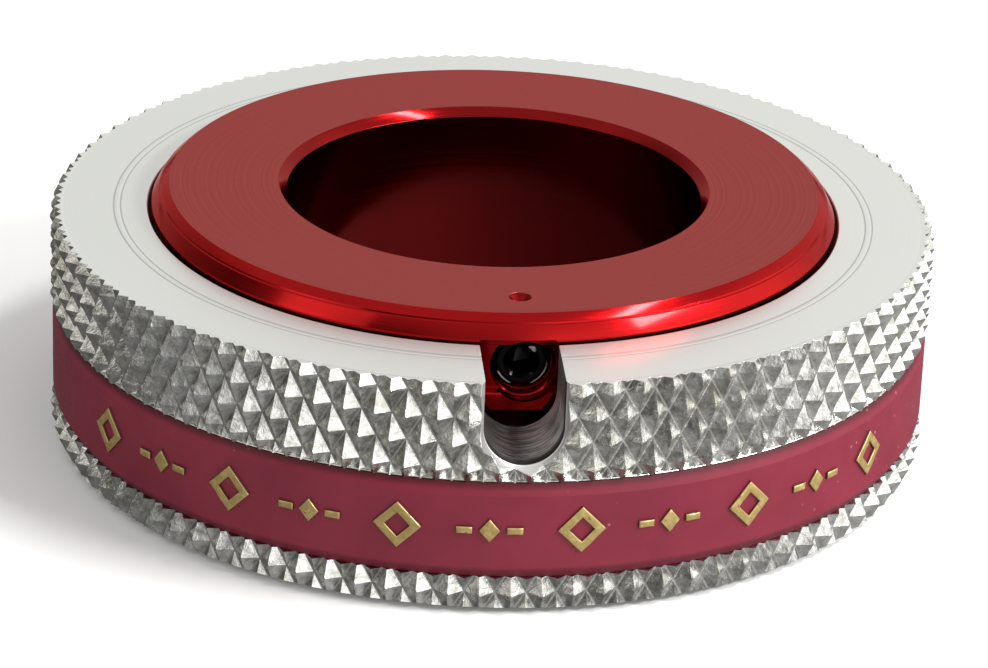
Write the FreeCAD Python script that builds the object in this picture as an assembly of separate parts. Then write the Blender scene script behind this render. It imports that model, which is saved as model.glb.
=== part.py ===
import FreeCAD, Part
import math
import os

# Height-setting collar for a 30 mm post.
#
# A red anodised hub is locked on the post by one radial grub screw with a soft
# pad under its point.  A knurled aluminium ring runs on the hub's lower barrel
# as a nut, so turning the ring by hand raises or lowers the hub and the post
# with it.  The ring turns on a plain slip washer that lies on whatever the
# collar stands on.  An open slot through the ring's rim gives the key access to
# the grub screw wherever the hub stands within its travel.
#
# Frame: Z = 0 is the slip washer's lower face, +Z up, origin on the post axis.
# The grub screw and the key slot face -Y.  All lengths in millimetres.

V = FreeCAD.Vector
os.makedirs("parts", exist_ok=True)

# ------------------------------------------------------------------ dimensions
# overall
ring_r = 32.15              # over the knurl crests
washer_stand = 0.30         # slip washer stands below the ring
ring_height = 16.70
ring_bottom = washer_stand
ring_top = ring_bottom + ring_height

# ring: outside
ring_top_chamfer = 0.35
ring_foot_chamfer = 0.70
upper_knurl = 7.11          # height of the knurl above the grip band
band_height = 7.15
band_groove_r = 30.00
band_top = ring_top - upper_knurl
band_bottom = band_top - band_height

# ring: inside
counterbore_r = 25.05
counterbore_chamfer = 0.08
counterbore_depth = 6.68
counterbore_floor = ring_top - counterbore_depth
thread_r = 21.00            # M42 x 1.5, drawn as a plain running fit
thread_pitch = 1.50
thread_clearance = 0.05
drag_seat_r = 23.50
drag_seat_depth = 1.52
lower_recess_r = 23.40
lower_recess_ceiling = 4.95

# ring: key slot, open at the top
slot_width = 5.40
slot_depth = 6.05
ring_phase = -0.85          # degrees the slot stands off the screw at rest

# slip washer and its groove in the ring's foot
washer_r_in = 25.70
washer_r_out = 30.10
washer_thick = 1.50
washer_side_gap = 0.10
washer_top_gap = 0.02
washer_bead = 0.20

# hub
bore_r = 15.00
bore_chamfer = 0.60
bore_foot_chamfer = 0.40
hub_top = ring_top + 1.77
hub_top_r = 23.55
bevel_r = 24.19
bevel_z = ring_top + 1.24
flange_r = 24.77
flange_top = ring_top + 0.25
lip_under = ring_top - 0.10
groove_r = 23.57
land_top = ring_top - 3.80
land_r = 24.50
land_under = ring_top - 5.13
edge_break = 0.10
thread_end = 3.90
hub_foot_r = 19.00
hub_bottom = 1.75
clip_groove_r = 18.00
clip_groove_low = 2.17
clip_groove_high = 3.43

# index dimple in the hub's top face
dimple_pos_r = 20.80
dimple_dia = 1.60
dimple_depth = 0.55

# grub screw, M4 x 6, and its hole
screw_r = 2.00
screw_len = 6.00
screw_pitch = 0.70
screw_z = ring_top - 1.95
screw_face = 23.27          # distance of the outer end from the post axis
screw_hole_r = 2.05
screw_hole_in = 16.40       # thread runs this far in
hex_af = 2.00
hex_depth = 2.50
spot_r = 2.30               # spot face round the hole's mouth
spot_dz = -0.20
spot_dx = 0.12
spot_floor = 23.40
spot_cone_end = 23.05

# pad under the screw
pad_r = 1.60
pad_hole_r = 1.65
pad_out = screw_face - screw_len - 0.05
pad_nose = 15.12            # flat nose, just clear of the bore wall
pad_nose_chamfer = 0.25

# retaining ring on the hub's foot
clip_low = 2.20
clip_high = 3.40
clip_in_r = 18.05
clip_out_r = 21.30
clip_offset = 0.90
clip_gap_deg = 4.0
clip_lug_deg = 9.5
clip_lug_r = 2.60
clip_lug_pos_r = 20.20
clip_eye_r = 1.15

# grip band and its raised ornament
band_r = 31.93
band_foot_r = 31.38
band_foot_height = 0.90
band_top_round = 0.15
relief_r = ring_r
relief_z = 6.50
relief_pitch_deg = 11.2
relief_centre_deg = -4.7
relief_marks = 11
lozenge_w = 3.40
lozenge_h = 3.50
lozenge_stroke = 0.62
small_w = 1.50
small_h = 1.80
dash_w = 1.15
dash_h = 0.55
dash_x = 1.72


# -------------------------------------------------------------------- helpers
def turned(points):
    """Solid of revolution about Z from (radius, height) points."""
    pts = [V(r, 0, z) for r, z in points]
    wire = Part.makePolygon(pts + [pts[0]])
    solid = Part.Face(wire).revolve(V(0, 0, 0), V(0, 0, 1), 360)
    return Part.makeSolid(solid) if solid.ShapeType != "Solid" else solid


def radial_cyl(r, near, far, x=0.0, z=0.0):
    """Cylinder along Y, between two distances from the post axis, on -Y."""
    return Part.makeCylinder(r, far - near, V(x, -far, z), V(0, 1, 0))


def radial_cone(r_near, r_far, near, far, x=0.0, z=0.0):
    return Part.makeCone(r_far, r_near, far - near, V(x, -far, z), V(0, 1, 0))


def spin(shape, deg):
    s = shape.copy()
    s.rotate(V(0, 0, 0), V(0, 0, 1), deg)
    return s


def write(name, shape):
    for s in shape.Solids:
        if not s.isValid():
            print("NOT VALID:", name)
    print("%-16s solids %2d  volume %10.2f mm3" % (name, len(shape.Solids), shape.Volume))
    shape.exportStep("parts/%s.step" % name)


# ---------------------------------------------------------------- slip washer
w_mid = 1.10
slip_washer = turned([
    (washer_r_in + 0.2, 0.0),
    (washer_r_out - 0.2, 0.0),
    (washer_r_out, 0.2),
    (washer_r_out, w_mid - 0.15),
    (washer_r_out + washer_bead, w_mid - 0.07),
    (washer_r_out + washer_bead, w_mid + 0.07),
    (washer_r_out, w_mid + 0.15),
    (washer_r_out, washer_thick),
    (washer_r_in, washer_thick),
    (washer_r_in, 0.2),
])
write("slip_washer", slip_washer)

# --------------------------------------------------------------- knurled ring
g_in = washer_r_in - washer_side_gap
g_out = washer_r_out + washer_side_gap
g_top = washer_thick + washer_top_gap
ring = turned([
    (lower_recess_r + 0.3, ring_bottom),
    (g_in, ring_bottom),
    (g_in, g_top),
    (g_out, g_top),
    (g_out, w_mid + 0.25),
    (g_out + washer_bead, w_mid + 0.15),
    (g_out + washer_bead, w_mid - 0.15),
    (g_out, w_mid - 0.25),
    (g_out, ring_bottom),
    (ring_r - ring_foot_chamfer, ring_bottom),
    (ring_r, ring_bottom + ring_foot_chamfer),
    (ring_r, band_bottom),
    (band_groove_r, band_bottom),
    (band_groove_r, band_top),
    (ring_r, band_top),
    (ring_r, ring_top - ring_top_chamfer),
    (ring_r - ring_top_chamfer, ring_top),
    (counterbore_r + counterbore_chamfer, ring_top),
    (counterbore_r, ring_top - counterbore_chamfer),
    (counterbore_r, counterbore_floor),
    (drag_seat_r, counterbore_floor),
    (drag_seat_r, counterbore_floor - drag_seat_depth),
    (thread_r + thread_clearance, counterbore_floor - drag_seat_depth),
    (thread_r + thread_clearance, lower_recess_ceiling),
    (lower_recess_r, lower_recess_ceiling),
    (lower_recess_r, ring_bottom + 0.3),
])
slot_r = slot_width / 2.0
slot_centre = ring_top - slot_depth + slot_r
slot = radial_cyl(slot_r, 22.0, 34.0, z=slot_centre).fuse(
    Part.makeBox(slot_width, 12.0, 8.0, V(-slot_r, -34.0, slot_centre)))
ring = ring.cut(spin(slot.removeSplitter(), ring_phase))
write("knurled_ring", ring)

# ------------------------------------------------------------------ grip band
band = turned([
    (band_groove_r, band_bottom),
    (band_foot_r, band_bottom),
    (band_r, band_bottom + band_foot_height),
    (band_r, band_top - band_top_round),
    (band_r - band_top_round, band_top),
    (band_groove_r, band_top),
])
write("grip_band", band)

# -------------------------------------------- raised ornament on the grip band
skin = Part.makeCylinder(relief_r, 8.0, V(0, 0, relief_z - 4.0)).cut(
    Part.makeCylinder(band_r, 8.0, V(0, 0, relief_z - 4.0)))


def plate(points, cx=0.0):
    pts = [V(cx + x, -33.0, relief_z + z) for x, z in points]
    return Part.Face(Part.makePolygon(pts + [pts[0]])).extrude(V(0, 4.0, 0))


def lozenge(w, h, cx=0.0):
    return plate([(-w / 2, 0), (0, -h / 2), (w / 2, 0), (0, h / 2)], cx)


slope = math.hypot(lozenge_w / 2, lozenge_h / 2)
in_w = lozenge_w - 2 * lozenge_stroke * slope / (lozenge_h / 2)
in_h = lozenge_h - 2 * lozenge_stroke * slope / (lozenge_w / 2)
open_lozenge = skin.common(lozenge(lozenge_w, lozenge_h).cut(lozenge(in_w, in_h)))
solid_lozenge = skin.common(lozenge(small_w, small_h))


def dash(cx):
    a, b = dash_w / 2, dash_h / 2
    return skin.common(plate([(-a, -b), (a, -b), (a, b), (-a, b)], cx))


link = [solid_lozenge, dash(-dash_x), dash(dash_x)]
marks = []
for half in (0.0, 180.0):
    for i in range(relief_marks):
        a = relief_centre_deg + half + (i - (relief_marks - 1) / 2.0) * relief_pitch_deg
        for piece in ([open_lozenge] if i % 2 == 0 else link):
            marks.extend(spin(piece, a).Solids)
write("band_relief", Part.makeCompound(marks))

# ------------------------------------------------------------------ drag ring
drag_ring = turned([
    (thread_r + thread_clearance, counterbore_floor - drag_seat_depth),
    (drag_seat_r, counterbore_floor - drag_seat_depth),
    (drag_seat_r, counterbore_floor - 0.02),
    (thread_r + thread_clearance + 0.3, counterbore_floor - 0.02),
    (thread_r + thread_clearance, counterbore_floor - 0.32),
])
write("drag_ring", drag_ring)

# ----------------------------------------------------------------- hub sleeve
hub = turned([
    (bore_r, hub_bottom + bore_foot_chamfer),
    (bore_r + bore_foot_chamfer, hub_bottom),
    (hub_foot_r - 0.2, hub_bottom),
    (hub_foot_r, hub_bottom + 0.2),
    (hub_foot_r, clip_groove_low),
    (clip_groove_r, clip_groove_low),
    (clip_groove_r, clip_groove_high),
    (hub_foot_r, clip_groove_high),
    (hub_foot_r, thread_end),
    (thread_r - 0.5, thread_end),
    (thread_r, thread_end + 0.5),
    (thread_r, land_under),
    (land_r - edge_break, land_under),
    (land_r, land_under + edge_break),
    (land_r, land_top - edge_break),
    (land_r - edge_break, land_top),
    (groove_r, land_top),
    (groove_r, lip_under),
    (flange_r, lip_under),
    (flange_r, flange_top),
    (bevel_r, bevel_z),
    (hub_top_r, hub_top),
    (bore_r + bore_chamfer, hub_top),
    (bore_r, hub_top - bore_chamfer),
])
hub = hub.cut(radial_cyl(screw_hole_r, screw_hole_in, 27.0, z=screw_z))
hub = hub.cut(radial_cyl(pad_hole_r, 13.0, screw_hole_in + 0.5, z=screw_z))
hub = hub.cut(radial_cyl(spot_r, spot_floor, 27.0, x=spot_dx, z=screw_z + spot_dz))
hub = hub.cut(radial_cone(screw_hole_r, spot_r, spot_cone_end, spot_floor,
                          x=spot_dx, z=screw_z + spot_dz))
dimple = Part.makeCone(0.05, dimple_dia / 2 * 1.1, dimple_depth * 1.1,
                       V(0, -dimple_pos_r, hub_top - dimple_depth), V(0, 0, 1))
hub = hub.cut(dimple)
write("hub_sleeve", hub)

# ------------------------------------------------------------- retaining ring
thick = clip_high - clip_low
clip = Part.makeCylinder(clip_out_r, thick, V(0, -clip_offset, clip_low))
for s in (-1, 1):
    a = math.radians(90 + s * clip_lug_deg)
    clip = clip.fuse(Part.makeCylinder(clip_lug_r, thick,
                     V(clip_lug_pos_r * math.cos(a), clip_lug_pos_r * math.sin(a), clip_low)))
clip = clip.removeSplitter()
clip = clip.cut(Part.makeCylinder(clip_in_r, thick + 2, V(0, 0, clip_low - 1)))
for s in (-1, 1):
    a = math.radians(90 + s * clip_lug_deg)
    clip = clip.cut(Part.makeCylinder(clip_eye_r, thick + 2,
                    V(clip_lug_pos_r * math.cos(a), clip_lug_pos_r * math.sin(a), clip_low - 1)))
ga = math.radians(clip_gap_deg)
wedge = Part.Face(Part.makePolygon([
    V(0, 0, clip_low - 1), V(30 * math.sin(-ga), 30 * math.cos(ga), clip_low - 1),
    V(30 * math.sin(ga), 30 * math.cos(ga), clip_low - 1), V(0, 0, clip_low - 1)]))
clip = clip.cut(wedge.extrude(V(0, 0, thick + 2)))
write("retaining_ring", clip)

# ----------------------------------------------------------------- clamp screw
body = radial_cyl(screw_r, screw_face - screw_len, screw_face, z=screw_z)
outer_end = radial_cone(screw_r + 1.0, screw_r - 0.30, screw_face - 1.30, screw_face, z=screw_z)
inner_end = radial_cone(screw_r - 0.50, screw_r + 1.0, screw_face - screw_len,
                        screw_face - screw_len + 1.50, z=screw_z)
clear = radial_cyl(screw_r + 1.0, screw_face - screw_len + 1.50, screw_face, z=screw_z)
body = body.common(inner_end.fuse(clear))
clear = radial_cyl(screw_r + 1.0, screw_face - screw_len, screw_face - 1.30, z=screw_z)
body = body.common(outer_end.fuse(clear))
hex_r = hex_af / 2 / math.cos(math.radians(30))
hex_pts = [V(hex_r * math.cos(math.radians(60 * k + 12)), -screw_face - 1.0,
             screw_z + hex_r * math.sin(math.radians(60 * k + 12))) for k in range(6)]
socket = Part.Face(Part.makePolygon(hex_pts + [hex_pts[0]])).extrude(V(0, hex_depth + 1.0, 0))
body = body.cut(socket)
body = body.cut(radial_cone(0.05, hex_af / 2, screw_face - hex_depth - 0.6,
                            screw_face - hex_depth, z=screw_z))
body = body.cut(radial_cone(hex_af / 2 - 0.05, hex_af / 2 + 0.30, screw_face - 0.30,
                            screw_face + 0.05, z=screw_z))
write("clamp_screw", body)

# ------------------------------------------------------------------ clamp pad
pad = radial_cyl(pad_r, pad_nose + pad_nose_chamfer, pad_out, z=screw_z)
pad = pad.fuse(radial_cone(pad_r - pad_nose_chamfer, pad_r, pad_nose,
                           pad_nose + pad_nose_chamfer, z=screw_z))
write("clamp_pad", pad)
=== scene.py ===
import math

import bmesh
import bpy
import numpy as np
from mathutils import Matrix, Vector


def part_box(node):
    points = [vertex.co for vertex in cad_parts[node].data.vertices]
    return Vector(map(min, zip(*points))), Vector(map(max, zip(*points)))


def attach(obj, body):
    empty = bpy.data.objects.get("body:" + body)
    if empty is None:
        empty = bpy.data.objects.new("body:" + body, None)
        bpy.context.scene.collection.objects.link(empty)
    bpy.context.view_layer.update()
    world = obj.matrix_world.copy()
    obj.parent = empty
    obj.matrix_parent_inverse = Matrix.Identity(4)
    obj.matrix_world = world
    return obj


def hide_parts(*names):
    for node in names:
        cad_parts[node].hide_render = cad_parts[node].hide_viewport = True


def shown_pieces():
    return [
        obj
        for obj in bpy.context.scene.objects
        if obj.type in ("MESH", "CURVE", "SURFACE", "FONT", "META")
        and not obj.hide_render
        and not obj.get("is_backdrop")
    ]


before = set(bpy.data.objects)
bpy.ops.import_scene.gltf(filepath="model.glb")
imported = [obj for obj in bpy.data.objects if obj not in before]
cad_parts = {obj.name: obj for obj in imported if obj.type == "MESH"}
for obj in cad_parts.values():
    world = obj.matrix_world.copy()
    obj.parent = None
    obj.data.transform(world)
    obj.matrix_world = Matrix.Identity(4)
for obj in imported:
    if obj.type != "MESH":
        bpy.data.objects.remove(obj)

scene = bpy.context.scene
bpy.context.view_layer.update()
MM = 0.001

# ---------------------------------------------------------------------------
# sizes in millimetres, read from the frame where a node's box gives them
# ---------------------------------------------------------------------------
ring_low, ring_high = [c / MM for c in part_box("knurled_ring")]
hub_low, hub_high = [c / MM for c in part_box("hub_sleeve")]
band_low, band_high = [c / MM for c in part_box("grip_band")]
screw_low, screw_high = [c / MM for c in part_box("clamp_screw")]
pad_low, pad_high = [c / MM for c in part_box("clamp_pad")]
washer_low, washer_high = [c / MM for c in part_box("slip_washer")]

R = ring_high.x                      # over the knurl crests
TOP = ring_high.z
FOOT = ring_low.z
HUB_TOP = hub_high.z
BAND_TOP = band_high.z
BAND_FOOT = band_low.z
SCREW_Z = (screw_low.z + screw_high.z) / 2
SCREW_FACE = -screw_low.y
SCREW_END = -screw_high.y

# knurl
KNURL_N = 94
KNURL_DEPTH = 0.84
KNURL_PERIOD = 3.676
KNURL_AZ = -22.93
KNURL_Z = 10.74

# key slot
SLOT_R = 2.70
SLOT_Z = TOP - 6.05 + SLOT_R
SLOT_PHASE = -0.85
FLARE_LOW, FLARE_HIGH = 0.17, 0.40   # how far the deburred border spreads at the valleys and at the crests


# ---------------------------------------------------------------------------
# the camera, at the photograph's viewing angle
# ---------------------------------------------------------------------------
def turn(v, axis, angle):
    return Matrix.Rotation(angle, 3, axis) @ v


dist, elev = 10.10, math.radians(22.064)
place = Vector((0, -dist * math.cos(elev), dist * math.sin(elev)))
fwd = (-place).normalized()
right = Vector((1, 0, 0))
up = right.cross(fwd)
fwd2, right2 = turn(fwd, up, math.radians(-0.0707)), turn(right, up, math.radians(-0.0707))
fwd3, up3 = turn(fwd2, right2, math.radians(-1.665)), turn(up, right2, math.radians(-1.665))
right4, up4 = turn(right2, fwd3, math.radians(-2.127)), turn(up3, fwd3, math.radians(-2.127))
SWING = 5.7                          # degrees the camera stands round from the screw
swing = Matrix.Rotation(math.radians(-SWING), 3, "Z")
axes = Matrix((right4, up4, -fwd3)).transposed()
axes = swing @ axes
where = swing @ (place * 0.03175)
camera_data = bpy.data.cameras.new("camera")
camera_data.sensor_width = 36.0
camera_data.lens = 4410.0 / 988.0 * 36.0
camera_data.clip_start = 0.01
camera_data.clip_end = 20.0
camera = bpy.data.objects.new("camera", camera_data)
scene.collection.objects.link(camera)
m = axes.to_4x4()
m.translation = where + Vector((0, 0, TOP * MM))
camera.matrix_world = m
scene.camera = camera


# ---------------------------------------------------------------------------
# mesh helpers; everything is built in millimetres and scaled at the end
# ---------------------------------------------------------------------------
def noise3(p, seed=0.0):
    """A cheap smooth pseudo-noise in -1..1 that needs no random state."""
    x, y, z = p[:, 0] + seed * 1.37, p[:, 1] - seed * 0.73, p[:, 2] + seed * 2.11
    return (np.sin(x * 1.7 + np.sin(y * 2.3) * 1.3) + np.sin(y * 2.9 + np.sin(z * 1.9) * 1.7)
            + np.sin(z * 2.3 + np.sin(x * 3.1) * 1.1)) / 3.0


def hash01(a, b=0, c=0):
    v = np.sin(np.asarray(a) * 12.9898 + np.asarray(b) * 78.233 + np.asarray(c) * 37.719) * 43758.5453
    return v - np.floor(v)


def rounded(points, n=4):
    """A closed (radius, height) outline whose third numbers round its corners."""
    out, count = [], len(points)
    for i, p in enumerate(points):
        c = np.array(p[:2], float)
        f = p[2] if len(p) > 2 else 0.0
        if f <= 0:
            out.append(tuple(c))
            continue
        a = np.array(points[i - 1][:2], float) - c
        b = np.array(points[(i + 1) % count][:2], float) - c
        la, lb = np.linalg.norm(a), np.linalg.norm(b)
        a, b = a / la, b / lb
        ang = math.acos(float(np.clip(a @ b, -1, 1)))
        if math.pi - ang < 0.02:
            out.append(tuple(c))
            continue
        t = min(f / math.tan(ang / 2), 0.49 * la, 0.49 * lb)
        rad = t * math.tan(ang / 2)
        mid = (a + b) / np.linalg.norm(a + b)
        centre = c + mid * (rad / math.sin(ang / 2))
        p0, p1 = c + a * t - centre, c + b * t - centre
        a0, a1 = math.atan2(p0[1], p0[0]), math.atan2(p1[1], p1[0])
        d = (a1 - a0 + math.pi) % (2 * math.pi) - math.pi
        for k in range(n + 1):
            th = a0 + d * k / n
            out.append((centre[0] + rad * math.cos(th), centre[1] + rad * math.sin(th)))
    return out


def mesh_object(name, verts, faces):
    mesh = bpy.data.meshes.new(name)
    mesh.from_pydata([tuple(v) for v in verts], [], [tuple(int(i) for i in f) for f in faces])
    mesh.update()
    obj = bpy.data.objects.new(name, mesh)
    scene.collection.objects.link(obj)
    return obj


def outward(obj):
    bm = bmesh.new()
    bm.from_mesh(obj.data)
    bmesh.ops.recalc_face_normals(bm, faces=bm.faces)
    bm.to_mesh(obj.data)
    bm.free()
    return obj


def lathe(name, profile, segs=384, phase=0.0):
    """Closed outline turned about Z."""
    prof = np.array(profile, float)
    n = len(prof)
    th = np.arange(segs) * 2 * np.pi / segs + phase
    verts = np.stack([np.outer(np.sin(th), prof[:, 0]), np.outer(-np.cos(th), prof[:, 0]),
                      np.tile(prof[:, 1], (segs, 1))], -1).reshape(-1, 3)
    i = np.arange(segs)[:, None]
    j = np.arange(n)[None, :]
    i2, j2 = (i + 1) % segs, (j + 1) % n
    faces = np.stack([i * n + j, i2 * n + j, i2 * n + j2, i * n + j2], -1).reshape(-1, 4)
    return outward(mesh_object(name, verts, faces))


def solid_lathe(name, profile, segs=64, axis="Z"):
    """Open outline from the axis round to the axis again, turned to a closed solid with poles."""
    prof = [p for p in profile]
    inner = [(max(r, 0.0), z) for r, z in prof]
    verts = [(0.0, 0.0, inner[0][1])]
    rows = []
    for r, z in inner[1:-1]:
        rows.append([len(verts) + k for k in range(segs)])
        for k in range(segs):
            a = 2 * math.pi * k / segs
            verts.append((r * math.cos(a), r * math.sin(a), z))
    last = len(verts)
    verts.append((0.0, 0.0, inner[-1][1]))
    faces = [(0, rows[0][k], rows[0][(k + 1) % segs]) for k in range(segs)]
    for a, b in zip(rows, rows[1:]):
        faces += [(a[k], b[k], b[(k + 1) % segs], a[(k + 1) % segs]) for k in range(segs)]
    faces += [(last, rows[-1][(k + 1) % segs], rows[-1][k]) for k in range(segs)]
    obj = mesh_object(name, verts, faces)
    if axis == "Y":                    # profile height becomes distance along -Y
        obj.data.transform(Matrix(((1, 0, 0, 0), (0, 0, -1, 0), (0, 1, 0, 0), (0, 0, 0, 1))))
    return outward(obj)


def loft(name, sections):
    """Rings of the same number of points, closed with a cap at each end."""
    n = len(sections[0])
    verts = [p for s in sections for p in s]
    faces = []
    for k in range(len(sections) - 1):
        for i in range(n):
            a, b = k * n + i, k * n + (i + 1) % n
            faces.append((a, b, b + n, a + n))
    faces.append(tuple(range(n)))
    faces.append(tuple(reversed(range((len(sections) - 1) * n, len(sections) * n))))
    return outward(mesh_object(name, verts, faces))


def boolean(obj, other, op="DIFFERENCE"):
    mod = obj.modifiers.new("cut", "BOOLEAN")
    mod.operation = op
    mod.object = other
    try:
        mod.solver = "MANIFOLD"
    except TypeError:
        mod.solver = "EXACT"
    bpy.context.view_layer.update()
    deps = bpy.context.evaluated_depsgraph_get()
    made = bpy.data.meshes.new_from_object(obj.evaluated_get(deps))
    obj.modifiers.clear()
    if len(made.polygons) < 4:
        raise RuntimeError("a boolean on %s left nothing" % obj.name)
    old = obj.data
    obj.data = made
    bpy.data.meshes.remove(old)
    bpy.data.objects.remove(other)
    return obj


def finish_piece(obj, body, nodes, material, sharp=32.0, weighted=True, merge=2e-4):
    mesh = obj.data
    bm = bmesh.new()
    bm.from_mesh(mesh)
    if merge:
        bmesh.ops.remove_doubles(bm, verts=bm.verts, dist=merge)
        bmesh.ops.dissolve_degenerate(bm, edges=bm.edges, dist=merge)
    bm.to_mesh(mesh)
    bm.free()
    mesh.transform(Matrix.Scale(MM, 4))
    mesh.update()
    mesh.shade_smooth()
    mesh.set_sharp_from_angle(angle=math.radians(sharp))
    mesh.materials.clear()
    mesh.materials.append(material)
    if weighted:
        mod = obj.modifiers.new("weighted", "WEIGHTED_NORMAL")
        mod.keep_sharp = True
        mod.weight = 80
        mod.mode = "FACE_AREA"
        bpy.context.view_layer.update()
        deps = bpy.context.evaluated_depsgraph_get()
        made = bpy.data.meshes.new_from_object(obj.evaluated_get(deps))
        obj.modifiers.clear()
        obj.data = made
        bpy.data.meshes.remove(mesh)
    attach(obj, body)
    if nodes:
        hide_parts(*nodes)
    return obj


# ---------------------------------------------------------------------------
# materials
# ---------------------------------------------------------------------------
class Nodes:
    def __init__(self, name):
        self.mat = bpy.data.materials.new(name)
        self.mat.use_nodes = True
        self.tree = self.mat.node_tree
        self.tree.nodes.clear()
        self.out = self.tree.nodes.new("ShaderNodeOutputMaterial")
        self.bsdf = self.tree.nodes.new("ShaderNodeBsdfPrincipled")
        self.tree.links.new(self.bsdf.outputs[0], self.out.inputs[0])
        self.coord = self.tree.nodes.new("ShaderNodeTexCoord").outputs["Object"]

    def set(self, **values):
        for key, value in values.items():
            self.bsdf.inputs[key.replace("_", " ")].default_value = value

    def link(self, a, b):
        self.tree.links.new(a, b)

    def new(self, kind, **props):
        n = self.tree.nodes.new(kind)
        for k, v in props.items():
            setattr(n, k, v)
        return n

    def maths(self, op, a, b=None, c=None, clamp=False):
        n = self.new("ShaderNodeMath", operation=op, use_clamp=clamp)
        for i, v in enumerate((a, b, c)):
            if v is None:
                continue
            if isinstance(v, (int, float)):
                n.inputs[i].default_value = v
            else:
                self.link(v, n.inputs[i])
        return n.outputs[0]

    def split(self, vector=None):
        n = self.new("ShaderNodeSeparateXYZ")
        self.link(vector or self.coord, n.inputs[0])
        return n.outputs[0], n.outputs[1], n.outputs[2]

    def combine(self, x=0.0, y=0.0, z=0.0):
        n = self.new("ShaderNodeCombineXYZ")
        for i, v in enumerate((x, y, z)):
            if isinstance(v, (int, float)):
                n.inputs[i].default_value = v
            else:
                self.link(v, n.inputs[i])
        return n.outputs[0]

    def radius(self):
        x, y, _ = self.split()
        return self.maths("SQRT", self.maths("ADD", self.maths("MULTIPLY", x, x), self.maths("MULTIPLY", y, y)))

    def noise(self, scale, detail=2.0, rough=0.5, vector=None, distortion=0.0):
        n = self.new("ShaderNodeTexNoise")
        self.link(vector or self.coord, n.inputs["Vector"])
        n.inputs["Scale"].default_value = scale
        n.inputs["Detail"].default_value = detail
        n.inputs["Roughness"].default_value = rough
        n.inputs["Distortion"].default_value = distortion
        return n.outputs[0]

    def voronoi(self, scale, feature="F1", vector=None):
        n = self.new("ShaderNodeTexVoronoi", feature=feature)
        self.link(vector or self.coord, n.inputs["Vector"])
        n.inputs["Scale"].default_value = scale
        return n.outputs[0]

    def ramp(self, value, stops, mode="LINEAR"):
        n = self.new("ShaderNodeValToRGB")
        self.link(value, n.inputs[0])
        cr = n.color_ramp
        cr.interpolation = mode
        while len(cr.elements) < len(stops):
            cr.elements.new(0.5)
        for e, (pos, col) in zip(cr.elements, stops):
            e.position = pos
            e.color = (*col, 1.0) if len(col) == 3 else col
        return n.outputs[0]

    def span(self, value, lo, hi, a=0.0, b=1.0, smooth=False):
        n = self.new("ShaderNodeMapRange", clamp=True)
        if smooth:
            n.interpolation_type = "SMOOTHSTEP"
        self.link(value, n.inputs[0])
        for i, v in enumerate((lo, hi, a, b)):
            n.inputs[i + 1].default_value = v
        return n.outputs[0]

    def mix(self, factor, a, b):
        n = self.new("ShaderNodeMix", data_type="RGBA")
        for socket, v in ((n.inputs["Factor"], factor), (n.inputs[6], a), (n.inputs[7], b)):
            if isinstance(v, (int, float)):
                socket.default_value = v
            elif isinstance(v, tuple):
                socket.default_value = (*v, 1.0) if len(v) == 3 else v
            else:
                self.link(v, socket)
        return n.outputs[2]

    def bump(self, height, distance, strength=1.0, normal=None):
        n = self.new("ShaderNodeBump")
        n.inputs["Strength"].default_value = strength
        n.inputs["Distance"].default_value = distance
        self.link(height, n.inputs["Height"])
        if normal is not None:
            self.link(normal, n.inputs["Normal"])
        return n.outputs[0]

    def use(self, **links):
        for key, socket in links.items():
            self.link(socket, self.bsdf.inputs[key.replace("_", " ")])
        return self.mat


def turned_lines(n, scale=9000.0, across=None):
    """Fine concentric tool lines: noise over the radius and the height only."""
    x, y, z = n.split()
    r = n.radius()
    v = n.combine(n.maths("MULTIPLY", r, 1.0), 0.0, n.maths("MULTIPLY", z, 1.0))
    return n.noise(scale, 2.0, 0.6, v)


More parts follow.
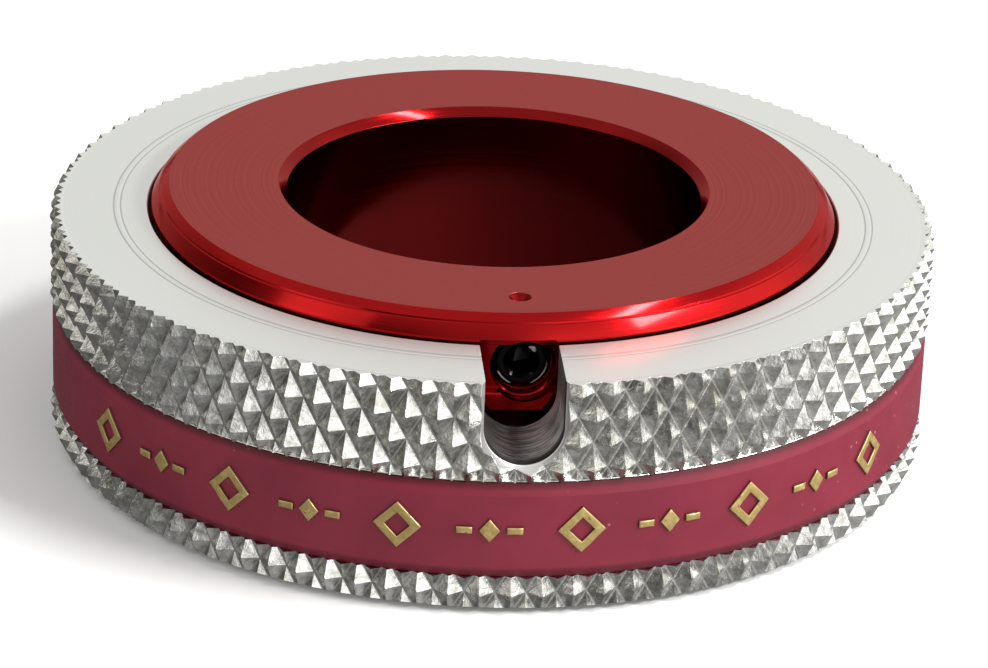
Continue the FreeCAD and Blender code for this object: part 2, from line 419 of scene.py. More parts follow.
def aluminium(name):
    n = Nodes(name)
    n.set(Metallic=1.0)
    lines = turned_lines(n, 7000.0)
    mottle = n.noise(1100.0, 5.0, 0.68, distortion=0.4)
    patch = n.noise(230.0, 3.0, 0.55)
    r = n.radius()
    x, y, z = n.split()
    # the knurled wall
    outer = n.maths("MULTIPLY", n.span(r, (R - 1.00) * MM, (R - 0.92) * MM), n.span(z, (TOP + 0.02) * MM, (TOP - 0.03) * MM))
    # mask of the knurl's valley floors, used for a painted highlight
    valley = n.maths("MULTIPLY", n.span(r, (R - KNURL_DEPTH + 0.045) * MM, (R - KNURL_DEPTH + 0.020) * MM), outer)
    # the cutter's channel: distance from the U's middle line, in the slot's own frame
    c, q = math.cos(math.radians(SLOT_PHASE)), math.sin(math.radians(SLOT_PHASE))
    across = n.maths("ADD", n.maths("MULTIPLY", x, c), n.maths("MULTIPLY", y, q))
    drop = n.maths("MINIMUM", n.maths("SUBTRACT", z, SLOT_Z * MM), 0.0)
    udist = n.maths("SQRT", n.maths("ADD", n.maths("MULTIPLY", across, across), n.maths("MULTIPLY", drop, drop)))
    front = n.span(y, -0.022, -0.023)
    slot = n.maths("MULTIPLY", n.span(udist, (SLOT_R + 0.06) * MM, (SLOT_R + 0.02) * MM), front)
    spread = n.span(r, (R - KNURL_DEPTH) * MM, R * MM, (SLOT_R + FLARE_LOW) * MM, (SLOT_R + FLARE_HIGH) * MM)
    border = n.maths("MULTIPLY", n.span(n.maths("SUBTRACT", udist, spread), 0.00004, 0.00002), front)
    border = n.maths("MULTIPLY", border, n.span(r, (R - 1.20) * MM, (R - 1.10) * MM))
    border = n.maths("MULTIPLY", border, n.span(udist, (SLOT_R + 0.02) * MM, (SLOT_R + 0.06) * MM))
    slot = n.maths("MULTIPLY", slot, n.span(z, (TOP - 0.002) * MM, (TOP - 0.02) * MM))
    outer = n.maths("MULTIPLY", outer, n.maths("SUBTRACT", 1.0, border))
    streak = n.noise(5200.0, 3.0, 0.7, n.combine(n.maths("MULTIPLY", across, 0.10), n.maths("MULTIPLY", y, 1.0), n.maths("MULTIPLY", z, 0.10)))
    col = n.mix(n.span(lines, 0.35, 0.7), (0.855, 0.852, 0.835), (0.895, 0.892, 0.875))
    flank = n.mix(n.span(mottle, 0.36, 0.66), (0.43, 0.425, 0.37), (0.93, 0.925, 0.905))
    flank = n.mix(n.span(patch, 0.58, 0.72, 0.0, 0.45), flank, (0.50, 0.48, 0.38))
    # painted shade: the two scribed grooves are darkened in the colour
    for scribed in (27.0, 27.5):
        near = n.maths("ABSOLUTE", n.maths("SUBTRACT", r, scribed * MM))
        col = n.mix(n.span(near, 0.00007, 0.00003, 0.0, 0.75), col, (0.34, 0.34, 0.33))
    col = n.mix(n.maths("MULTIPLY", outer, 0.92), col, flank)
    # painted highlight: a near-white line along each knurl valley
    col = n.mix(n.maths("MULTIPLY", valley, 0.35), col, (0.97, 0.965, 0.95))
    # painted shade: the ring's top face takes a darker copy of the turned aluminium's colour, with a little less metal
    top_face = n.maths("MULTIPLY", n.span(z, (TOP - 0.03) * MM, (TOP - 0.01) * MM), n.span(r, 0.0251, 0.0252))
    tone = n.mix(n.span(lines, 0.35, 0.7), (0.648, 0.660, 0.632), (0.684, 0.694, 0.668))
    # painted shade: the two scribed grooves are darkened on the top face as well
    for scribed in (27.0, 27.5):
        near = n.maths("ABSOLUTE", n.maths("SUBTRACT", r, scribed * MM))
        tone = n.mix(n.span(near, 0.00007, 0.00003, 0.0, 0.70), tone, (0.28, 0.28, 0.27))
    col = n.mix(top_face, col, tone)
    # the slot's channel: real machining streaks, in a tone darkened as painted shade of the recess
    channel = n.mix(n.span(streak, 0.38, 0.66), (0.014, 0.012, 0.011), (0.22, 0.20, 0.19))
    # painted light: the channel's right side is made much lighter
    lit_side = n.maths("MULTIPLY", n.span(across, -0.0006, 0.0016, 0.0, 0.95, smooth=True), n.span(r, (R - 1.7) * MM, (R - 2.3) * MM))
    channel = n.mix(n.maths("MULTIPLY", n.span(streak, 0.36, 0.60, 0.25, 1.0), lit_side), channel, (0.92, 0.88, 0.85))
    # painted shade with a painted reflection of the red hub: the channel dark and reddish towards its top
    channel = n.mix(n.span(z, (TOP - 1.8) * MM, (TOP - 3.9) * MM, 0.75, 0.0, smooth=True), channel, (0.05, 0.028, 0.026))
    # the channel darker again towards its outer opening
    channel = n.mix(n.span(r, (R - 2.00) * MM, (R - 1.30) * MM, 0.0, 0.90, smooth=True), channel, (0.020, 0.019, 0.018))
    col = n.mix(slot, col, channel)
    col = n.mix(border, col, (0.80, 0.795, 0.78))
    rough_face = n.span(lines, 0.3, 0.7, 0.33, 0.45)
    rough_flank = n.span(mottle, 0.3, 0.75, 0.13, 0.36)
    rough = n.maths("ADD", n.maths("MULTIPLY", rough_face, n.maths("SUBTRACT", 1.0, outer)),
                    n.maths("MULTIPLY", rough_flank, outer))
    rough = n.maths("ADD", n.maths("MULTIPLY", rough, n.maths("SUBTRACT", 1.0, slot)), n.maths("MULTIPLY", slot, 0.55))
    b = n.bump(lines, 0.0000035, 0.5)
    dents = n.noise(1700.0, 4.0, 0.62, distortion=0.5)
    b = n.bump(n.maths("MULTIPLY", dents, outer), 0.00008, 0.9, b)
    b = n.bump(n.maths("MULTIPLY", streak, slot), 0.00007, 0.9, b)
    metal = n.maths("ADD", n.maths("MULTIPLY", slot, 0.45), n.maths("MULTIPLY", border, 0.18))
    metal = n.maths("SUBTRACT", 1.0, n.maths("MAXIMUM", metal, n.maths("MULTIPLY", top_face, 0.30)))
    return n.use(Base_Color=col, Metallic=metal, Roughness=rough, Normal=b)


def red_anodised(name):
    n = Nodes(name)
    n.set(Metallic=1.0, Specular_Tint=(0.80, 0.10, 0.10, 1.0), Coat_Weight=0.22, Coat_Roughness=0.10, Coat_IOR=1.5)
    lines = turned_lines(n, 6500.0)
    fine = n.noise(5200.0, 3.0, 0.6)
    patch = n.noise(110.0, 3.0, 0.5)
    _, _, z = n.split()
    r = n.radius()
    face = n.maths("MULTIPLY", n.span(z, (HUB_TOP - 0.03) * MM, (HUB_TOP - 0.005) * MM),
                   n.maths("MULTIPLY", n.span(r, 0.01558, 0.01566), n.span(r, 0.02356, 0.02350)))
    col = n.mix(n.span(patch, 0.35, 0.65), (0.22, 0.0004, 0.0012), (0.285, 0.0008, 0.002))
    # painted light: the hub's upper bevels take a brighter copy of the red
    bevel = n.maths("MULTIPLY", n.span(r, 0.02350, 0.02356), n.span(z, 0.0168, 0.0170))
    col = n.mix(bevel, col, (0.40, 0.0010, 0.0022))
    # painted light: the groove wall and the land below it take a brighter copy of the red
    waist = n.maths("MULTIPLY", n.span(r, 0.02338, 0.02346), n.maths("MULTIPLY", n.span(z, 0.01690, 0.01682), n.span(z, 0.01180, 0.01190)))
    col = n.mix(waist, col, (0.46, 0.0010, 0.0020))
    # painted shade: the bore is darkened below its top edge
    bore = n.maths("MULTIPLY", n.span(r, 0.01512, 0.01506), n.span(z, (HUB_TOP - 0.55) * MM, (HUB_TOP - 0.75) * MM))
    col = n.mix(n.maths("MULTIPLY", bore, 0.5), col, (0.05, 0.0001, 0.0004))
    # painted sheen: the hub's top face takes a paler, pinker copy of the red
    top = n.mix(n.span(lines, 0.35, 0.65), (0.312, 0.083, 0.077), (0.350, 0.099, 0.091))
    col = n.mix(face, col, top)
    wear = n.maths("MULTIPLY", n.span(fine, 0.60, 0.72), 0.35)
    col = n.mix(n.maths("MULTIPLY", wear, face), col, (0.46, 0.17, 0.155))
    rough = n.maths("ADD", n.span(lines, 0.3, 0.7, 0.10, 0.20), n.maths("MULTIPLY", face, 0.27))
    b = n.bump(lines, 0.000003, 0.6)
    b = n.bump(n.maths("MULTIPLY", fine, face), 0.000004, 0.5, b)
    return n.use(Base_Color=col, Roughness=rough, Normal=b)


def grip_rubber(name):
    n = Nodes(name)
    n.set(Metallic=0.0, IOR=1.38)
    fine = n.noise(5200.0, 4.0, 0.65)
    patch = n.noise(150.0, 4.0, 0.55)
    dust = n.voronoi(700.0)
    _, _, z = n.split()
    col = n.mix(n.span(patch, 0.3, 0.7), (0.162, 0.010, 0.026), (0.205, 0.014, 0.034))
    # painted shade: the band is darkened towards its foot
    foot = n.span(z, (BAND_FOOT + 0.85) * MM, (BAND_FOOT + 0.55) * MM)
    col = n.mix(n.maths("MULTIPLY", foot, 0.55), col, (0.07, 0.003, 0.008))
    # painted shadow: the band is darkened just under the knurl's lip
    lip_shadow = n.span(z, (BAND_TOP - 0.65) * MM, (BAND_TOP - 0.10) * MM, 0.0, 0.80, smooth=True)
    col = n.mix(lip_shadow, col, (0.055, 0.002, 0.006))
    speck = n.maths("MULTIPLY", n.span(dust, 0.10, 0.05), n.span(n.noise(60.0, 2.0), 0.55, 0.7))
    col = n.mix(n.maths("MULTIPLY", speck, 0.5), col, (0.55, 0.42, 0.42))
    rough = n.span(fine, 0.3, 0.7, 0.42, 0.58)
    b = n.bump(fine, 0.00001, 0.6)
    b = n.bump(patch, 0.00006, 0.4, b)
    return n.use(Base_Color=col, Roughness=rough, Normal=b)


def gold_foil(name):
    n = Nodes(name)
    n.set(Metallic=0.0, IOR=1.5)
    fine = n.noise(2600.0, 4.0, 0.65)
    worn = n.noise(900.0, 4.0, 0.6, distortion=0.6)
    r = n.radius()
    edge = n.span(r, (R - 0.045) * MM, (R - 0.10) * MM)
    gold = n.mix(n.span(fine, 0.3, 0.7), (0.50, 0.36, 0.115), (0.70, 0.53, 0.23))
    col = n.mix(n.span(worn, 0.60, 0.70), gold, (0.20, 0.09, 0.03))
    col = n.mix(edge, col, (0.060, 0.012, 0.008))
    metal = n.maths("MULTIPLY", n.span(worn, 0.68, 0.58), n.span(r, (R - 0.10) * MM, (R - 0.045) * MM, 0.0, 0.75))
    rough = n.span(fine, 0.3, 0.7, 0.30, 0.50)
    b = n.bump(fine, 0.00002, 0.7)
    return n.use(Base_Color=col, Metallic=metal, Roughness=rough, Normal=b)


def black_steel(name):
    n = Nodes(name)
    n.set(Metallic=0.0, IOR=1.4, Specular_IOR_Level=0.08, Coat_Weight=0.12, Coat_Roughness=0.04, Coat_IOR=1.5)
    fine = n.noise(3000.0, 4.0, 0.6)
    wear = n.noise(1200.0, 4.0, 0.6)
    col = n.mix(n.span(wear, 0.62, 0.74), (0.0009, 0.0009, 0.0011), (0.004, 0.0038, 0.004))
    # painted highlights: pale arcs on the rim and a pale spot in the socket, painted into the colour as the screw's
    # glints
    x, y, z = n.split()
    dz = n.maths("SUBTRACT", z, SCREW_Z * MM)
    rs = n.maths("SQRT", n.maths("ADD", n.maths("MULTIPLY", x, x), n.maths("MULTIPLY", dz, dz)))
    turn_at = n.maths("ARCTAN2", dz, x)
    near = n.maths("ABSOLUTE", n.maths("SUBTRACT", rs, n.span(turn_at, -math.pi, math.pi, 0.001745, 0.001800)))
    arc = n.maths("MAXIMUM", n.maths("MULTIPLY", n.span(turn_at, -2.75, -2.62), n.span(turn_at, -1.95, -2.08)),
                  n.maths("MULTIPLY", n.span(turn_at, -1.22, -1.08), n.span(turn_at, -0.02, -0.22)))
    rim = n.maths("MULTIPLY", n.maths("MULTIPLY", n.span(near, 0.00007, 0.00003), arc), n.span(wear, 0.34, 0.42))
    sx, sz = n.maths("SUBTRACT", x, 0.00068), n.maths("SUBTRACT", dz, 0.00082)
    spot = n.maths("SQRT", n.maths("ADD", n.maths("MULTIPLY", sx, sx), n.maths("MULTIPLY", sz, sz)))
    spot = n.span(n.maths("ADD", spot, n.maths("MULTIPLY", wear, 0.00030)), 0.00046, 0.00038)
    bright = n.maths("MULTIPLY", n.maths("MAXIMUM", rim, spot), n.span(y, (0.35 - SCREW_FACE) * MM, (0.28 - SCREW_FACE) * MM))
    col = n.mix(bright, col, (0.74, 0.75, 0.73))
    rough = n.span(fine, 0.3, 0.7, 0.12, 0.22)
    return n.use(Base_Color=col, Roughness=rough, Normal=n.bump(fine, 0.000006, 0.4))


def plain_metal(name, dark, light, rough_lo, rough_hi, lines_scale=5000.0, metallic=1.0, bump=0.000004):
    n = Nodes(name)
    n.set(Metallic=metallic)
    lines = turned_lines(n, lines_scale)
    patch = n.noise(220.0, 4.0, 0.55)
    col = n.mix(n.span(patch, 0.3, 0.7), dark, light)
    rough = n.span(lines, 0.3, 0.7, rough_lo, rough_hi)
    return n.use(Base_Color=col, Roughness=rough, Normal=n.bump(lines, bump, 0.6))


def polymer(name, dark, light):
    n = Nodes(name)
    n.set(Metallic=0.0, IOR=1.5, Subsurface_Weight=0.0)
    fine = n.noise(3500.0, 3.0, 0.6)
    patch = n.noise(180.0, 3.0, 0.5)
    col = n.mix(n.span(patch, 0.3, 0.7), dark, light)
    rough = n.span(fine, 0.3, 0.7, 0.38, 0.55)
    return n.use(Base_Color=col, Roughness=rough, Normal=n.bump(fine, 0.000008, 0.5))


MAT_ALU = aluminium("knurled_aluminium")
MAT_RED = red_anodised("red_anodised")
MAT_BAND = grip_rubber("grip_rubber")
MAT_GOLD = gold_foil("gold_foil")
MAT_BLACK = black_steel("black_steel")
MAT_SPRING = plain_metal("spring_steel", (0.16, 0.155, 0.15), (0.26, 0.25, 0.235), 0.26, 0.40)
MAT_BRASS = plain_metal("brass", (0.70, 0.47, 0.20), (0.80, 0.58, 0.27), 0.20, 0.34)
MAT_NYLON = polymer("nylon", (0.012, 0.012, 0.013), (0.022, 0.021, 0.022))
MAT_ACETAL = polymer("acetal", (0.035, 0.035, 0.037), (0.06, 0.06, 0.062))


# ---------------------------------------------------------------------------
# knurled ring
# ---------------------------------------------------------------------------
def knurl_solid(low, high):
    """A solid drum whose wall is covered in diamond pyramids, as a rolled knurl leaves them."""
    s = np.array([0.0, 0.035, 0.085, 0.29, 0.465, 0.535, 0.71, 0.915, 0.965])
    S = len(s)
    cells = []
    k0 = math.floor(2 * (low - KNURL_Z) / KNURL_PERIOD) - 1
    k1 = math.ceil(2 * (high - KNURL_Z) / KNURL_PERIOD) + 1
    index, verts, faces = {}, [], []
    pitch = 360.0 / KNURL_N

    def vert(ia, ib):
        wrap = 2 * KNURL_N * S
        key = (ia - ib, (ia + ib) % wrap)
        if key in index:
            return index[key]
        ma, fa = divmod(ia, S)
        mb, fb = divmod(ib, S)
        a, b = s[fa], s[fb]
        p = (ma + a + mb + b) / 2.0
        q = (ma + a - mb - b) / 2.0
        az = math.radians(KNURL_AZ + (p - 0.5) * pitch)
        z = KNURL_Z + q * KNURL_PERIOD
        t = 2 * min(a, 1 - a, b, 1 - b)
        # a valley with a small round floor, a flank, and a slightly blunted crest
        if t < 0.07:
            h = 0.012 + 0.75 * t * t / 0.14
        elif t < 0.92:
            h = 0.012 + 0.75 * 0.035 + (t - 0.07) * 1.06
        else:
            h = 0.012 + 0.75 * 0.035 + 0.85 * 1.06 + (t - 0.92) * 0.45
        h -= 0.050 * math.sin(math.pi * min(1.0, t)) * (0.4 + 1.2 * float(hash01(ma % (2 * KNURL_N), mb % (2 * KNURL_N), 3.0)))
        # each pyramid stands a little differently, each flank waves a little
        cell_p, cell_q = (ma + mb) % (2 * KNURL_N), ma - mb
        lift = (float(hash01(cell_p, cell_q, 1.0)) - 0.5) * 0.05 * t
        h = h * (1.0 - 0.03) + lift
        r = R - KNURL_DEPTH * (1.0 - h)
        wob = noise3(np.array([[az * 90.0, z * 6.0, az * 41.0 + z * 3.0]]), 1.0)[0] * 0.020 * min(1.0, t * 3)
        r = min(r + wob, R - 0.002)
        index[key] = len(verts)
        verts.append((r * math.sin(az), -r * math.cos(az), z))
        return index[key]

    for k in range(k0, k1 + 1):
        for c in range(KNURL_N):
            total = 2 * c + (k % 2)
            ma = (total + k) // 2
            mb = (total - k) // 2
            for i in range(S):
                for j in range(S):
                    ia, ib = ma * S + i, mb * S + j
                    v00, v10, v11, v01 = vert(ia, ib), vert(ia + 1, ib), vert(ia + 1, ib + 1), vert(ia, ib + 1)
                    # ridges run along the cell's diagonals, from crest to corner
                    ci, cj = i + 0.5 - S / 2.0, j + 0.5 - S / 2.0
                    if ci * cj >= 0:
                        faces += [(v00, v10, v11), (v00, v11, v01)]
                    else:
                        faces += [(v00, v10, v01), (v10, v11, v01)]
    obj = mesh_object("drum", verts, faces)
    bm = bmesh.new()
    bm.from_mesh(obj.data)
    edges = [e for e in bm.edges if len(e.link_faces) == 1]
    top = [e for e in edges if e.verts[0].co.z > (low + high) / 2]
    bottom = [e for e in edges if e.verts[0].co.z <= (low + high) / 2]
    for ring_edges, z in ((top, high + 12.0), (bottom, low - 12.0)):
        centre = bm.verts.new((0, 0, z))
        for e in ring_edges:
            bm.faces.new((e.verts[0], e.verts[1], centre))
    bmesh.ops.recalc_face_normals(bm, faces=bm.faces)
    bm.to_mesh(obj.data)
    bm.free()
    return obj


def slot_section(radius, grow, n=28):
    """The slot's U outline, open upwards, laid on a drum of that radius."""
    r = SLOT_R + grow
    pts = [(r, TOP + 3.0), (r, (TOP + 3.0 + SLOT_Z) / 2)]
    for k in range(n + 1):
        a = -math.pi * k / n
        pts.append((r * math.cos(a), SLOT_Z + r * math.sin(a)))
    pts += [(-r, (TOP + 3.0 + SLOT_Z) / 2), (-r, TOP + 3.0)]
    out = []
    for x, z in pts:
        out.append((x, -math.sqrt(radius * radius - x * x), z))
    turn_by = Matrix.Rotation(math.radians(SLOT_PHASE), 3, "Z")
    return [tuple(turn_by @ Vector(p)) for p in out]


def build_ring():
    e = 0.05
    top, foot = TOP, FOOT
    profile = rounded([
        (23.70, foot, 0.05), (25.60, foot, 0.04), (25.60, 1.52), (30.20, 1.52), (30.20, 1.35),
        (30.40, 1.25), (30.40, 0.95), (30.20, 0.85), (30.20, foot, 0.04),
        (R - 0.95, foot, 0.12), (R - 0.30, foot + 0.32, 0.30), (R + e, foot + 1.10), (R + e, BAND_FOOT - e), (R - 0.03, BAND_FOOT - 0.0),
        (30.00, BAND_FOOT), (30.00, BAND_TOP), (R - 0.03, BAND_TOP), (R + e, BAND_TOP + e),
        (R + e, top - 0.38), (R - 0.35, top, 0.08),
        (27.56, top), (27.50, top - 0.020), (27.44, top),
        (27.06, top), (27.00, top - 0.020), (26.94, top),
        (25.13, top, 0.03), (25.05, top - 0.08, 0.03), (25.05, 10.32, 0.05), (23.50, 10.32),
        (23.50, 8.80), (21.05, 8.80), (21.05, 4.95, 0.15), (23.40, 4.95, 0.2), (23.40, foot + 0.3, 0.05)], 3)
    ring = lathe("ring_body", profile, 360)
    drum = knurl_solid(-1.0, 18.5)
    boolean(ring, drum, "INTERSECT")
    t = BAND_TOP
    lip = lathe("lip", rounded([(R - 1.40, t), (R - 0.58, t, 0.03), (R - 0.54, t + 0.05, 0.03), (R - 0.58, t + 0.10, 0.03),
                                (R - 1.00, t + 0.17), (R - 1.40, t + 0.17)], 3), 360)
    boolean(ring, lip, "UNION")
    cutter = loft("slot_cutter", [
        slot_section(22.0, 0.0), slot_section(R - 1.20, 0.0), slot_section(R - 1.08, 0.05),
        slot_section(R - KNURL_DEPTH, FLARE_LOW), slot_section(R, FLARE_HIGH), slot_section(R + 0.85, 0.90)])
    boolean(ring, cutter)
    return finish_piece(ring, "ring", ["knurled_ring"], MAT_ALU, sharp=22.0)


# ---------------------------------------------------------------------------
# grip band and its raised marks
# ---------------------------------------------------------------------------
def build_band():
    b, t = BAND_FOOT, BAND_TOP
    profile = rounded([
        (30.02, b + 0.01), (R - 0.77, b + 0.01, 0.12), (R - 0.22, b + 0.90, 0.35), (R - 0.22, t - 0.90, 0.30),
        (R - 0.52, t - 0.03, 0.03), (30.02, t - 0.02)], 5)
    band = lathe("grip_band_skin", profile, 384)
    co = np.zeros(len(band.data.vertices) * 3)
    band.data.vertices.foreach_get("co", co)
    co = co.reshape(-1, 3)
    rad = np.hypot(co[:, 0], co[:, 1])
    az = np.arctan2(co[:, 0], -co[:, 1])
    wave = (np.sin(az * 7 + 0.4) + np.sin(az * 13 + co[:, 2] * 0.6) * 0.6 + np.sin(az * 29) * 0.3) * 0.006
    out = rad > R - 0.6
    scale = np.where(out, 1 - (0.008 + wave * 0.5) / rad, 1.0)
    co[:, 0] *= scale
    co[:, 1] *= scale
    band.data.vertices.foreach_set("co", co.reshape(-1))
    return finish_piece(band, "ring", ["grip_band"], MAT_BAND, sharp=40.0, merge=0)


def mark_prism(outer, inner, az, zc):
    """One raised mark: a flat-topped plate on the band with a sloped rim, open in the middle if inner is given."""
    verts, faces = [], []
    r_low, r_top = R - 0.27, R - 0.004

    def dense(loop):
        out = []
        for i in range(len(loop)):
            a, b = np.array(loop[i]), np.array(loop[(i + 1) % len(loop)])
            n = max(2, int(np.linalg.norm(b - a) / 0.30))
            out += [tuple(a + (b - a) * k / n) for k in range(n)]
        return out

    def shrink(loop, d):
        pts = np.array(loop)
        n = len(pts)
        res = []
        for i in range(n):
            p0, p1, p2 = pts[i - 1], pts[i], pts[(i + 1) % n]
            a, b = p1 - p0, p2 - p1
            a, b = a / np.linalg.norm(a), b / np.linalg.norm(b)
            na, nb = np.array((-a[1], a[0])), np.array((-b[1], b[0]))
            bis = na + nb
            bis = bis / np.linalg.norm(bis)
            res.append(tuple(p1 + bis * d / max(0.45, float(bis @ na))))
        return res

    def put(loop, r):
        start = len(verts)
        for x, z in loop:
            a = az + x / (R - 0.1)
            w = 0.010 * math.sin(x * 5.1 + az * 40) + 0.008 * math.sin(z * 6.3 + az * 17)
            rr = min(r + (w - 0.010 if r > R - 0.15 else 0.0), R - 0.003)
            verts.append((rr * math.sin(a), -rr * math.cos(a), zc + z))
        return list(range(start, len(verts)))

    def rim(loop, sign):
        d = dense(loop)
        base = put(d, r_low)
        mid = put([tuple(p) for p in shrink(d, sign * 0.03)], r_top - 0.07)
        edge = put([tuple(p) for p in shrink(d, sign * 0.06)], r_top - 0.015)
        flat = put([tuple(p) for p in shrink(d, sign * 0.11)], r_top)
        n = len(d)
        for lo, hi in ((base, mid), (mid, edge), (edge, flat)):
            for i in range(n):
                faces.append((lo[i], lo[(i + 1) % n], hi[(i + 1) % n], hi[i]))
        return base, flat

    base_o, top_o = rim(outer, 1.0)
    if inner is None:
        # a closed middle: the top and the base each fan in to a centre point
        loop = [(0, 0)]
        cx = np.mean([outer[i][0] for i in range(len(outer))])
        cz = np.mean([outer[i][1] for i in range(len(outer))])
        centre = put([(cx, cz)], r_top)[0]
        low_c = put([(cx, cz)], r_low)[0]
        n = len(top_o)
        for i in range(n):
            faces.append((top_o[i], top_o[(i + 1) % n], centre))
            faces.append((base_o[(i + 1) % n], base_o[i], low_c))
    else:
        base_i, top_i = rim(inner, -1.0)
        for lo, hi in ((top_o, top_i), (base_i, base_o)):
            n, k = len(lo), len(hi)
            # both loops start at the same corner; corner indices are matched quarter by quarter
            qa, qb = n // 4, k // 4
            for q in range(4):
                i, j = 0, 0
                while i < qa or j < qb:
                    a0, b0 = lo[(q * qa + i) % n], hi[(q * qb + j) % k]
                    if j >= qb or (i < qa and (i + 1) / qa <= (j + 1) / qb):
                        faces.append((a0, lo[(q * qa + i + 1) % n], b0))
                        i += 1
                    else:
                        faces.append((a0, hi[(q * qb + j + 1) % k], b0))
                        j += 1
    return verts, faces


def build_marks():
    zc = 6.50
    w, h, stroke = 3.40, 3.50, 0.62
    slope = math.hypot(w / 2, h / 2)
    iw = w - 2 * stroke * slope / (h / 2)
    ih = h - 2 * stroke * slope / (w / 2)

    def diamond(a, b, cx=0.0):
        # counter-clockwise in (x, z)
        return [(cx + a / 2, 0.0), (cx, b / 2), (cx - a / 2, 0.0), (cx, -b / 2)]

    def dash(cx):
        a, b = 1.15 / 2, 0.55 / 2
        return [(cx + a, -b), (cx + a, b), (cx - a, b), (cx - a, -b)]

    verts, faces = [], []
    for half in (0.0, 180.0):
        for i in range(11):
            a = -(-4.7 + half + (i - 5.0) * 11.2)
            az = math.radians(-a)
            if i % 2 == 0:
                parts = [(diamond(w, h), diamond(iw, ih))]
            else:
                parts = [(diamond(1.50, 1.80), None), (dash(-1.72), None), (dash(1.72), None)]
            for outer, inner in parts:
                v, f = mark_prism(outer, inner, az, zc)
                faces += [tuple(i + len(verts) for i in face) for face in f]
                verts += v
    obj = outward(mesh_object("band_marks", verts, faces))
    return finish_piece(obj, "ring", ["band_relief"], MAT_GOLD, sharp=50.0, weighted=False, merge=0)


# ---------------------------------------------------------------------------
# hub
# ---------------------------------------------------------------------------
def radial(obj, x=0.0, z=0.0):
    obj.data.transform(Matrix.Translation((x, 0, z)))
    return obj


def build_hub():
    t = HUB_TOP
    profile = rounded([
        (15.00, 2.15, 0.08), (15.40, 1.75, 0.06), (18.80, 1.75, 0.05), (19.00, 1.95, 0.05), (19.00, 2.17, 0.03),
        (18.00, 2.17, 0.05), (18.00, 3.43, 0.05), (19.00, 3.43, 0.03), (19.00, 3.90, 0.05), (20.50, 3.90, 0.05),
        (21.00, 4.40, 0.08), (21.00, 11.87, 0.10), (24.40, 11.87, 0.03), (24.50, 11.97, 0.03),
        (24.50, 13.10, 0.03), (24.40, 13.20, 0.03), (23.57, 13.20, 0.08), (23.57, 16.90, 0.08),
        (24.77, 16.90, 0.03), (24.77, 17.25, 0.04), (24.245, 18.14, 0.04), (24.150, 18.19, 0.02),
        (24.100, 18.305, 0.03), (23.55, t, 0.07),
        (15.60, t, 0.07), (15.00, t - 0.60, 0.07)], 4)
    hub = lathe("hub_body", profile, 384)
    hole = solid_lathe("hole", [(0, 16.40), (2.05, 16.40), (2.05, 27.0), (0, 27.0)], 72, "Y")
    boolean(hub, radial(hole, 0.0, SCREW_Z))
    pad_hole = solid_lathe("pad_hole", [(0, 13.0), (1.65, 13.0), (1.65, 16.9), (0, 16.9)], 64, "Y")
    boolean(hub, radial(pad_hole, 0.0, SCREW_Z))
    spot = solid_lathe("spot", [(0, 22.9), (2.00, 23.0), (2.25, 23.38), (2.30, 23.42), (2.30, 27.0), (0, 27.0)], 72, "Y")
    boolean(hub, radial(spot, 0.12, SCREW_Z - 0.20))
    dimple = solid_lathe("dimple", [(0, t - 0.82), (0.10, t - 0.80), (0.70, t - 0.10), (0.80, t + 0.01), (0.90, t + 0.3), (0, t + 0.3)], 48)
    dimple.data.transform(Matrix.Translation((0, -20.80, 0)))
    boolean(hub, dimple)
    return finish_piece(hub, "hub", ["hub_sleeve"], MAT_RED, sharp=26.0)


